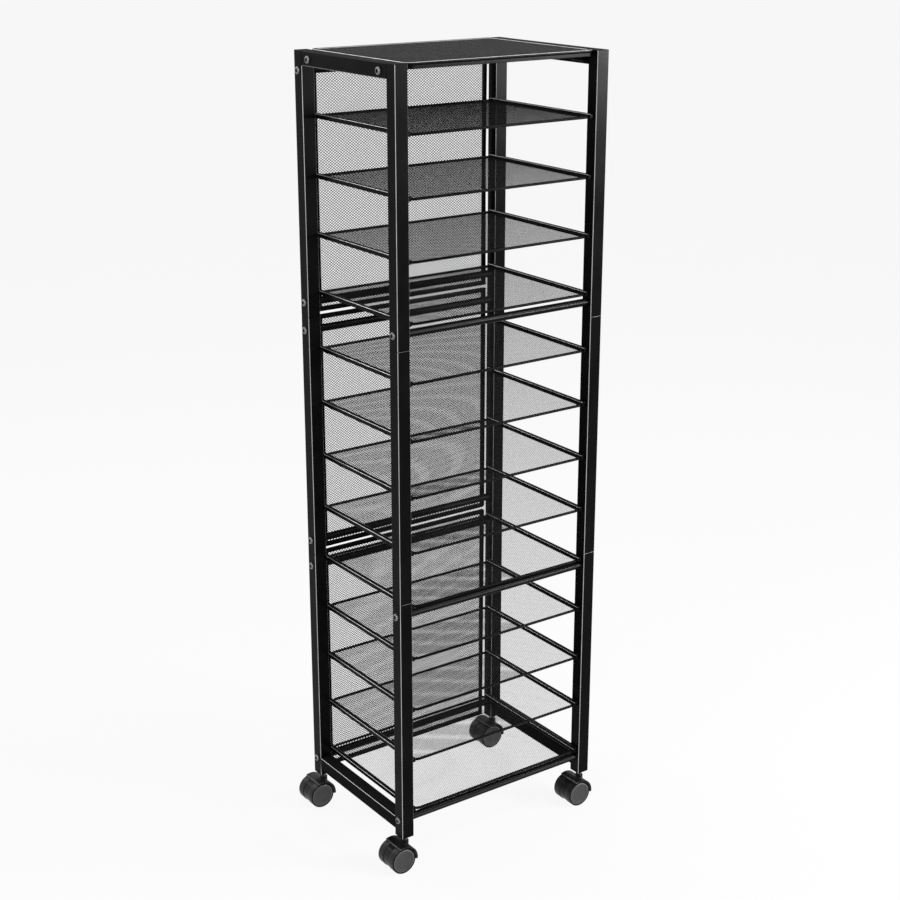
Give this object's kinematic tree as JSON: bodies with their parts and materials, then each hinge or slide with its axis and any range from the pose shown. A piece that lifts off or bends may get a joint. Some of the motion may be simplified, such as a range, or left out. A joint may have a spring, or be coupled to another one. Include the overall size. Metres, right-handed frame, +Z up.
{
  "type": "mobile file cart",
  "caption": "Tall open file cart with square tube posts, fixed mesh trays, mesh back and top shelf on swivelling twin-wheel casters.",
  "frame": {"origin": "on the floor, under the middle of the cart's bounding box with its casters trailing to the left", "axes": "+Z up, the open front faces -Y, +X to the right of someone facing the front"},
  "size_m": [0.3778, 0.2684, 1.1593],
  "materials": {
    "frame_enamel": "gloss black powder coat",
    "mesh_enamel": "black powder coat on expanded mesh",
    "screw_steel": "dark zinc button head",
    "zinc_steel": "dull zinc",
    "hood_plastic": "satin black",
    "wheel_plastic": "satin dark grey"
  },
  "bodies": {
    "frame": {"post_front_left_bottom": "frame_enamel", "post_front_right_bottom": "frame_enamel", "post_back_left_bottom": "frame_enamel", "post_back_right_bottom": "frame_enamel", "post_front_left_middle": "frame_enamel", "post_front_right_middle": "frame_enamel", "post_back_left_middle": "frame_enamel", "post_back_right_middle": "frame_enamel", "post_front_left_top": "frame_enamel", "post_front_right_top": "frame_enamel", "post_back_left_top": "frame_enamel", "post_back_right_top": "frame_enamel", "front_rail_bottom": "frame_enamel", "front_rail_lower_joint": "frame_enamel", "front_rail_upper_joint": "frame_enamel", "side_rail_left_bottom": "frame_enamel", "side_rail_left_top": "frame_enamel", "side_rail_right_bottom": "frame_enamel", "side_rail_right_top": "frame_enamel", "back_panel_bottom": "mesh_enamel", "back_panel_middle": "mesh_enamel", "back_panel_top": "mesh_enamel", "tray_01": "mesh_enamel", "tray_02": "mesh_enamel", "tray_03": "mesh_enamel", "tray_04": "mesh_enamel", "tray_05": "mesh_enamel", "tray_06": "mesh_enamel", "tray_07": "mesh_enamel", "tray_08": "mesh_enamel", "tray_09": "mesh_enamel", "tray_10": "mesh_enamel", "tray_11": "mesh_enamel", "tray_12": "mesh_enamel", "tray_13": "mesh_enamel", "top_shelf": "mesh_enamel", "shelf_screw_front_left": "screw_steel", "shelf_screw_front_right": "screw_steel", "shelf_screw_back_left": "screw_steel", "shelf_screw_back_right": "screw_steel", "caster_front_left_stem": "zinc_steel", "caster_front_right_stem": "zinc_steel", "caster_back_left_stem": "zinc_steel", "caster_back_right_stem": "zinc_steel"},
    "caster_front_left_swivel": {"caster_front_left_hood": "hood_plastic", "caster_front_left_axle": "zinc_steel"},
    "caster_front_left_wheel_front": {"caster_front_left_wheel_front": "wheel_plastic"},
    "caster_front_left_wheel_back": {"caster_front_left_wheel_back": "wheel_plastic"},
    "caster_front_right_swivel": {"caster_front_right_hood": "hood_plastic", "caster_front_right_axle": "zinc_steel"},
    "caster_front_right_wheel_front": {"caster_front_right_wheel_front": "wheel_plastic"},
    "caster_front_right_wheel_back": {"caster_front_right_wheel_back": "wheel_plastic"},
    "caster_back_left_swivel": {"caster_back_left_hood": "hood_plastic", "caster_back_left_axle": "zinc_steel"},
    "caster_back_left_wheel_front": {"caster_back_left_wheel_front": "wheel_plastic"},
    "caster_back_left_wheel_back": {"caster_back_left_wheel_back": "wheel_plastic"},
    "caster_back_right_swivel": {"caster_back_right_hood": "hood_plastic", "caster_back_right_axle": "zinc_steel"},
    "caster_back_right_wheel_front": {"caster_back_right_wheel_front": "wheel_plastic"},
    "caster_back_right_wheel_back": {"caster_back_right_wheel_back": "wheel_plastic"}
  },
  "joints": [
    {"name": "caster_front_left_turn", "type": "hinge", "parent": "frame", "child": "caster_front_left_swivel", "pos_m": [-0.1551, -0.1145, 0.02], "axis": [0, 0, 1], "continuous": true},
    {"name": "caster_front_left_wheel_front_roll", "type": "hinge", "parent": "caster_front_left_swivel", "child": "caster_front_left_wheel_front", "pos_m": [-0.1689, -0.1276, 0.02], "axis": [0, 1, 0], "continuous": true},
    {"name": "caster_front_left_wheel_back_roll", "type": "hinge", "parent": "caster_front_left_swivel", "child": "caster_front_left_wheel_back", "pos_m": [-0.1689, -0.1014, 0.02], "axis": [0, 1, 0], "continuous": true},
    {"name": "caster_front_right_turn", "type": "hinge", "parent": "frame", "child": "caster_front_right_swivel", "pos_m": [0.1759, -0.1145, 0.02], "axis": [0, 0, 1], "continuous": true},
    {"name": "caster_front_right_wheel_front_roll", "type": "hinge", "parent": "caster_front_right_swivel", "child": "caster_front_right_wheel_front", "pos_m": [0.1621, -0.1276, 0.02], "axis": [0, 1, 0], "continuous": true},
    {"name": "caster_front_right_wheel_back_roll", "type": "hinge", "parent": "caster_front_right_swivel", "child": "caster_front_right_wheel_back", "pos_m": [0.1621, -0.1014, 0.02], "axis": [0, 1, 0], "continuous": true},
    {"name": "caster_back_left_turn", "type": "hinge", "parent": "frame", "child": "caster_back_left_swivel", "pos_m": [-0.1551, 0.1145, 0.02], "axis": [0, 0, 1], "continuous": true},
    {"name": "caster_back_left_wheel_front_roll", "type": "hinge", "parent": "caster_back_left_swivel", "child": "caster_back_left_wheel_front", "pos_m": [-0.1689, 0.1014, 0.02], "axis": [0, 1, 0], "continuous": true},
    {"name": "caster_back_left_wheel_back_roll", "type": "hinge", "parent": "caster_back_left_swivel", "child": "caster_back_left_wheel_back", "pos_m": [-0.1689, 0.1276, 0.02], "axis": [0, 1, 0], "continuous": true},
    {"name": "caster_back_right_turn", "type": "hinge", "parent": "frame", "child": "caster_back_right_swivel", "pos_m": [0.1759, 0.1145, 0.02], "axis": [0, 0, 1], "continuous": true},
    {"name": "caster_back_right_wheel_front_roll", "type": "hinge", "parent": "caster_back_right_swivel", "child": "caster_back_right_wheel_front", "pos_m": [0.1621, 0.1014, 0.02], "axis": [0, 1, 0], "continuous": true},
    {"name": "caster_back_right_wheel_back_roll", "type": "hinge", "parent": "caster_back_right_swivel", "child": "caster_back_right_wheel_back", "pos_m": [0.1621, 0.1276, 0.02], "axis": [0, 1, 0], "continuous": true}
  ]
}
